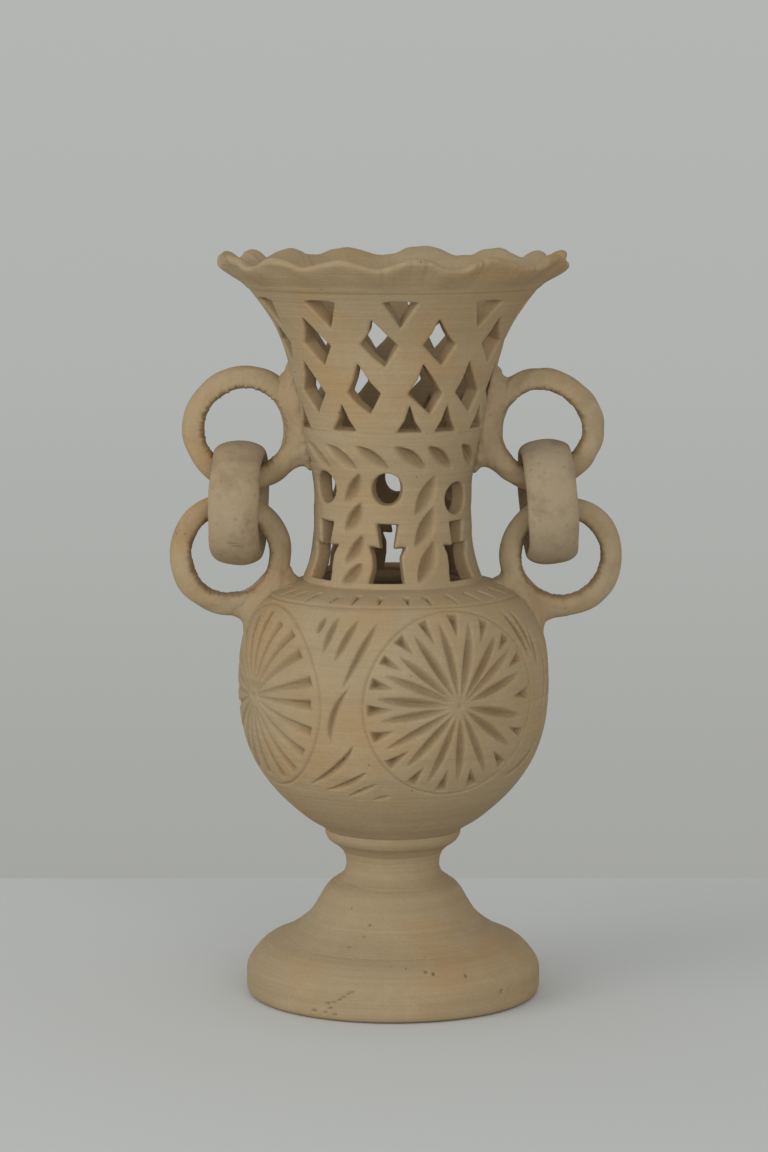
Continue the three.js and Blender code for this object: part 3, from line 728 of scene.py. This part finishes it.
# Where the scallops dip, in degrees, and the section as (radius, z, share of the scallops' motion).
VALLEYS = (-129.8, -112, -83, -54.2, -30, -5.4, 20.2, 49.5, 86, 110.5, 129.4, 155.5, 184.1, 209.2,
           230.2)
RIM_SECTION = [(57.7, 285.2, 0), (60.3, 287.5, 0.12), (63.4, 289.9, 0.45), (66.6, 292.4, 0.85),
               (69.0, 294.4, 1), (69.9, 295.6, 1), (69.7, 296.9, 1), (68.6, 297.6, 1),
               (66.2, 297.3, 1), (63.0, 295.2, 0.85), (59.6, 291.6, 0.5), (56.2, 288.4, 0.2),
               (52.3, 285.4, 0), (55.0, 285.0, 0)]


def rim():
    section = smooth(RIM_SECTION, 0.7, closed=True)
    around = 800
    degrees = VALLEYS[0] + np.arange(around) * 360 / around
    index = np.clip(np.searchsorted(VALLEYS, degrees, side="right") - 1, 0, len(VALLEYS) - 2)
    low, high = np.array(VALLEYS)[index], np.array(VALLEYS)[index + 1]
    share = (degrees - low) / (high - low)
    swell = random.uniform(0.8, 1.15, len(VALLEYS))[index]
    wave = -np.cos(2 * math.pi * share)
    wave = np.sign(wave) * np.abs(wave) ** 0.85 * swell
    pinch = np.exp(-((np.minimum(share, 1 - share) * (high - low)) / 5.5) ** 2)
    turn = np.radians(degrees)[:, None]
    r, z, lift = section.T
    fold = 0.4 * ripple(turn, 21, 14, 9) + 0.2 * ripple(turn, 23, 20, 30)
    pinches = np.random.default_rng(25)
    lip_radius = 68
    for _ in range(30):
        at, size = pinches.uniform(0, ABOUT_A_TURN), pinches.uniform(0.45, 1.1)
        fold -= 0.7 * size * np.exp(-(wrap(turn - at) * lip_radius / size) ** 2)
    radius = r[None, :] + lift[None, :] * (0.35 * ripple(turn, 20) + fold - 0.9 * pinch[:, None])
    height = z[None, :] + lift[None, :] * (1.7 * wave[:, None] + 0.3 * ripple(turn, 22, 12, 9)
                                                + 0.14 * ripple(turn, 24, 20, 34))
    crest = np.clip((z - 295) / 3, 0, 1)[None, :]
    height = height - 0.7 * pinch[:, None] * crest
    points, faces = closed_grid(radius * np.sin(turn), -radius * np.cos(turn), height)
    make_object("rim_crimped", points, faces, BODY, "ruffled_rim", "vase")


# ---------------------------------------------------------------- rings, wads and links

def ring_place(node):
    """A ring's centre x and z, its radius to the coil's middle, and the coil's own radius, all from
    its CAD box."""
    low, high = [np.array(corner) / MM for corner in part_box(node)]
    tube = (high[1] - low[1]) / 2
    radius = (high[2] - low[2]) / 2 - tube
    z = (high[2] + low[2]) / 2
    outer = low[0] if abs(low[0]) > abs(high[0]) else high[0]
    return math.copysign(abs(outer) - radius - tube, outer), z, radius, tube


def ring(node, seed):
    """A rolled coil, rounded outside, flatter and ragged inside, and wider away from the link."""
    x0, z0, radius, tube = ring_place(node)
    a, p = np.meshgrid(circle(200), circle(36), indexing="ij")
    centre = radius + 0.3 * ripple(a, seed, 3)
    thick = tube * (1 + 0.035 * ripple(a, seed + 1, 5) + 0.02 * ripple(a * 3 + p, seed + 2, 4))
    out, side = np.cos(p), np.sin(p)
    inner = out < 0
    out = np.where(inner, -0.97 * np.abs(out) ** 0.6, out)
    side = np.where(inner, np.sign(side) * np.abs(side) ** 0.7, side)
    away = np.sin(a) if node.startswith("upper") else -np.sin(a)
    side = side * (1 + 0.32 * np.clip((away + 0.55) / 0.7, 0, 1) * np.clip(0.4 - np.cos(p), 0, 1))
    ragged = 0.3 * inner * np.abs(side) * ripple(a * 9, seed + 4, 7)
    r = centre + thick * out + ragged
    y = thick * side + 0.3 * ripple(a, seed + 3, 3)
    points, faces = closed_grid(x0 + r * np.cos(a), y, z0 + r * np.sin(a))
    # Painted shade on the inside of the coil, facing the ring's middle.
    cut = np.clip(-1.8 * np.cos(p) - 0.35, 0, 1) * (0.75 + 0.2 * ripple(a * 2, seed + 5, 5))
    make_object(node.replace("ring", "coil"), points, faces, COIL, node, "vase",
                cut=np.clip(cut, 0, 1))


def wall_distance(x, y, z):
    """About how far a point stands outside the turned body."""
    outline = np.vstack([smooth(one, 1.5) for one in (GLOBE, NECK, FLARE)])
    radius = np.hypot(x, y)
    best = np.full(radius.shape, 1e9)
    for (az, ar), (bz, br) in zip(outline[:-1], outline[1:]):
        dz, dr = bz - az, br - ar
        squared = dz**2 + dr**2
        if squared < 1e-6:
            continue
        t = np.clip(((z - az) * dz + (radius - ar) * dr) / squared, 0, 1)
        best = np.minimum(best, np.hypot(z - az - t * dz, radius - ar - t * dr))
    outside = radius > np.interp(z, outline[:, 0], outline[:, 1])
    return np.where(outside, best, -best)


def lumps(x, y, z, seed):
    """Slow unevenness of hand-smeared clay, about unit size."""
    waves = np.random.default_rng(seed)
    total = np.zeros_like(x)
    for _ in range(14):
        k = waves.normal(0, 1, 3)
        k *= 2 * math.pi / (np.linalg.norm(k) * waves.uniform(3.0, 9.0))
        total += np.sin(k[0] * x + k[1] * y + k[2] * z + waves.uniform(0, ABOUT_A_TURN))
    return total / 4


def wad(node, ring_node, reach, seed):
    """Luting clay: the hollow between wall and ring, filled over about reach and smeared, inside an
    ellipsoid that reaches a few millimetres past the CAD wad's box."""
    spare, clear, side_room, step = 6.5, 1.5, 4.5, 0.6
    low, high = [np.array(corner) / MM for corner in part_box(node)]
    x0, z0, radius, tube = ring_place(ring_node)
    low, high = low - spare, high + spare
    axes = [np.arange(a, b, step) for a, b in zip(low, high)]
    x, y, z = np.meshgrid(*axes, indexing="ij")
    to_wall = wall_distance(x, y, z)
    to_ring = np.hypot(np.hypot(x - x0, z - z0) - radius, y) - tube
    uneven = lumps(x, y, z, seed)
    filled = smooth_min(to_wall, to_ring, reach) + 0.22 + 0.12 * uneven
    middle, half = (low + high) / 2, (high - low) / 2 - clear
    half[1] = tube + side_room
    from_middle = np.sqrt(sum(((c - m) / h) ** 2 for c, m, h in zip((x, y, z), middle, half)))
    region = (from_middle - 1) * half.min()
    field = smooth_max(filled, region + 0.4 * uneven, 1.5)
    field = np.maximum(field, -(to_wall + 1.2))
    points, faces = net(field, False)
    points = np.array([axis[0] for axis in axes]) + points * step
    make_object(node.replace("wad", "luting"), points, faces, LUTING, node,
                "vase", LUTING_TRIANGLES)


LINK_WALL = 8.4
LINK_WIDTH = 20.0
# Two plain nicks on the left link, as (angle round it, from, to) across its width.
LINK_NICKS = ((3.75, -1.4, 1.6), (3.81, -0.2, 2.4))


def link(side, sign, yaw, lean, seed):
    """A loose turned link: a barrel-shaped band round the CAD link's bore, with torn pits near its
    edges. yaw and lean, in degrees, are how that bore is turned away from the x axis."""
    node = f"link_{side}"
    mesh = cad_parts[node].data
    corners = np.array([vertex.co[:] for vertex in mesh.vertices]) / MM
    centre = (corners.min(0) + corners.max(0)) / 2
    turn_y, turn_z = math.radians(-sign * lean), math.radians(sign * yaw)
    c, s = math.cos(turn_y), math.sin(turn_y)
    rotate_y = np.array([[c, 0, s], [0, 1, 0], [-s, 0, c]])
    c, s = math.cos(turn_z), math.sin(turn_z)
    rotate_z = np.array([[c, -s, 0], [s, c, 0], [0, 0, 1]])
    spin = rotate_z @ rotate_y
    straight = (corners - centre) @ spin
    outer = np.hypot(straight[:, 1], straight[:, 2]).max()
    a, p = np.meshgrid(circle(440), circle(110), indexing="ij")
    middle = outer - LINK_WALL / 2
    uneven = 1 + 0.012 * ripple(a, seed, 4)
    r = middle * uneven + LINK_WALL / 2 * np.cos(p) * (1 + 0.02 * ripple(a + p, seed + 1, 4))
    x = LINK_WIDTH / 2 * np.sin(p) * (1 + 0.015 * ripple(a, seed + 2, 5))
    pits = np.random.default_rng(seed + 3)
    # Painted shade in the pits and nicks, darkest at their middles.
    cut = np.zeros_like(r)
    for _ in range(90):
        edge = pits.choice((-1, 1)) * pits.normal(0.9, 0.4)
        at, size = pits.uniform(0, ABOUT_A_TURN), pits.uniform(0.3, 0.62)
        far = np.hypot(wrap(a - at) * middle, wrap(p - edge) * 7) / size
        r -= 0.4 * size * np.exp(-far**2)
        cut = np.maximum(cut, 0.6 * np.exp(-far**2))
    if side == "left":
        for at, low, high in LINK_NICKS:
            along = np.clip(np.minimum(x - low, high - x), -1, 0)
            far = np.hypot(wrap(a - at) * middle / 0.4, along / 0.5)
            r -= 0.3 * np.exp(-far**2)
            cut = np.maximum(cut, 0.9 * np.exp(-far**2))
    local, faces = closed_grid(x, r * np.cos(a), r * np.sin(a))
    points = local @ spin.T + centre
    make_object(f"{node}_band", points, faces, LINK, node, f"{node}_body", cut=cut)


foot()
stem()
globe()
neck()
flare()
rim()
for number, (side, sign, yaw, lean) in enumerate((("left", -1, 4, 1.5), ("right", 1, 3, 4))):
    for level in ("upper", "lower"):
        ring(f"{level}_ring_{side}", 31 + 4 * number + (level == "lower"))
    wad(f"upper_wad_{side}", f"upper_ring_{side}", 13.0, 51 + number)
    wad(f"lower_wad_{side}", f"lower_ring_{side}", 11.0, 61 + number)
    link(side, sign, yaw, lean, 71 + number)


# ---------------------------------------------------------------- stage, light and camera

# From here on, lengths are in metres.
FLOOR_BACK = 0.215
FLOOR_REACH = 5


def floor():
    """A pale floor that ends close behind the vase, where the pale surroundings take over."""
    points = [(-FLOOR_REACH, -FLOOR_REACH, 0), (FLOOR_REACH, -FLOOR_REACH, 0),
              (FLOOR_REACH, FLOOR_BACK, 0), (-FLOOR_REACH, FLOOR_BACK, 0)]
    mesh = bpy.data.meshes.new("floor")
    mesh.from_pydata(points, [], [(0, 1, 2, 3)])
    plane = bpy.data.objects.new("floor", mesh)
    bpy.context.scene.collection.objects.link(plane)
    material = bpy.data.materials.new("floor_paper")
    material.use_nodes = True
    shader = material.node_tree.nodes["Principled BSDF"]
    shader.inputs["Base Color"].default_value = (0.63, 0.641, 0.62, 1)
    shader.inputs["Roughness"].default_value = 0.9
    shader.inputs["Specular IOR Level"].default_value = 0.1
    mesh.materials.append(material)


def surroundings():
    """Pale light from all round, a little darker and greener low down, where it is seen as a wall."""
    world = bpy.data.worlds.new("surroundings")
    world.use_nodes = True
    nodes, links = world.node_tree.nodes, world.node_tree.links
    direction = nodes.new("ShaderNodeTexCoord").outputs["Generated"]
    parts = nodes.new("ShaderNodeSeparateXYZ")
    links.new(direction, parts.inputs[0])
    height = nodes.new("ShaderNodeMapRange")
    height.inputs["From Min"].default_value = -0.25
    height.inputs["From Max"].default_value = 0.5
    links.new(parts.outputs["Z"], height.inputs["Value"])
    ramp = nodes.new("ShaderNodeValToRGB")
    ramp.color_ramp.elements[0].position = 0.04
    ramp.color_ramp.elements[0].color = (0.368, 0.374, 0.353, 1)
    ramp.color_ramp.elements[1].position = 0.9
    ramp.color_ramp.elements[1].color = (0.52, 0.53, 0.54, 1)
    seen = ramp.color_ramp.elements.new(0.24)
    seen.color = (0.437, 0.447, 0.432, 1)
    links.new(height.outputs["Result"], ramp.inputs["Fac"])
    links.new(ramp.outputs["Color"], nodes["Background"].inputs["Color"])
    bpy.context.scene.world = world


def area_light(name, place, target, size, power, colour):
    """A soft rectangular light at a place, aimed at a target."""
    data = bpy.data.lights.new(name, "AREA")
    data.shape = "RECTANGLE"
    data.size, data.size_y = size
    data.energy = power
    data.color = colour
    light = bpy.data.objects.new(name, data)
    light.location = place
    aim = np.array(target) - np.array(place)
    yaw = math.atan2(-aim[0], aim[1])
    pitch = math.atan2(aim[2], math.hypot(aim[0], aim[1]))
    light.rotation_euler = (math.pi / 2 + pitch, 0, yaw)
    bpy.context.scene.collection.objects.link(light)


floor()
surroundings()
area_light("window", (-1.6, -1.1, 0.72), (0, 0, 0.15), (1.5, 1.5), 15.5, (1.0, 0.99, 0.975))
area_light("fill", (0.8, -3.4, 0.95), (0, 0, 0.3), (2.8, 1.4), 40, (1.0, 0.965, 0.925))

bpy.context.scene.view_settings.view_transform = "Standard"

camera_data = bpy.data.cameras.new("camera")
camera_data.lens = 112.9
camera_data.sensor_width = 36
camera_data.sensor_fit = "AUTO"
camera = bpy.data.objects.new("camera", camera_data)
camera.location = (-0.0037, -1.44, 0.353)
camera.rotation_euler = (math.radians(90 - 7.26), 0, 0)
bpy.context.scene.collection.objects.link(camera)
bpy.context.scene.camera = camera
